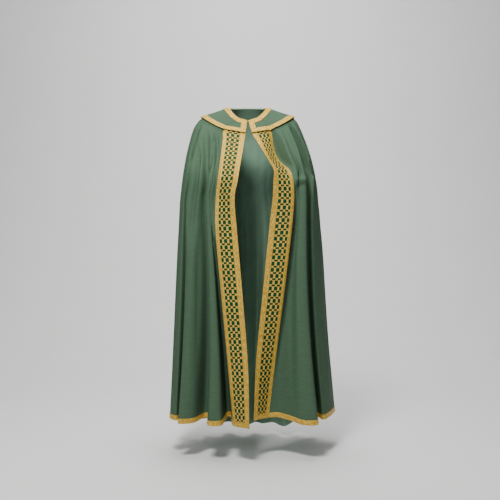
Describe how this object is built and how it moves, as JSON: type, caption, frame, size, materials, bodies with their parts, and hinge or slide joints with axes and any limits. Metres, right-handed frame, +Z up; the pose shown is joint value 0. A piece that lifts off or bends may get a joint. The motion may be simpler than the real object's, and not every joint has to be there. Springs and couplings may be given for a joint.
{
  "type": "cope vestment",
  "caption": "Full-length open cloak with a round shoulder collar, checkered front bands and flat braid edging, hooked at the throat and hanging in soft folds from the shoulders.",
  "frame": {"origin": "middle of the neck opening, at the height where the cloak rests on the shoulders", "axes": "+Z up; the open front faces -Y; the wearer's right is -X"},
  "size_m": [0.7574, 0.6274, 1.5011],
  "materials": {
    "green_cloth": "mid-green slubbed cloth with a slight sheen",
    "lining_cloth": "plain dark green lining",
    "gold_braid": "flat woven gold braid, dull metallic thread",
    "checker_band": "woven check of dark green and pale gold",
    "dark_hook": "blackened wire"
  },
  "bodies": {
    "root": {"mantle_front_right": "green_cloth", "mantle_front_left": "green_cloth", "mantle_back_right": "green_cloth", "mantle_back_left": "green_cloth", "collar": "green_cloth", "lining_back": "lining_cloth", "collar_braid_neck": "gold_braid", "collar_braid_edge": "gold_braid", "collar_braid_front_right": "gold_braid", "collar_braid_front_left": "gold_braid", "orphrey_braid_right_inner": "gold_braid", "orphrey_braid_right_outer": "gold_braid", "orphrey_braid_right_end": "gold_braid", "orphrey_braid_left_inner": "gold_braid", "orphrey_braid_left_outer": "gold_braid", "orphrey_braid_left_end": "gold_braid", "hem_braid": "gold_braid", "orphrey_right": "checker_band", "orphrey_left": "checker_band", "throat_hook": "dark_hook", "throat_ring": "dark_hook"}
  },
  "joints": []
}
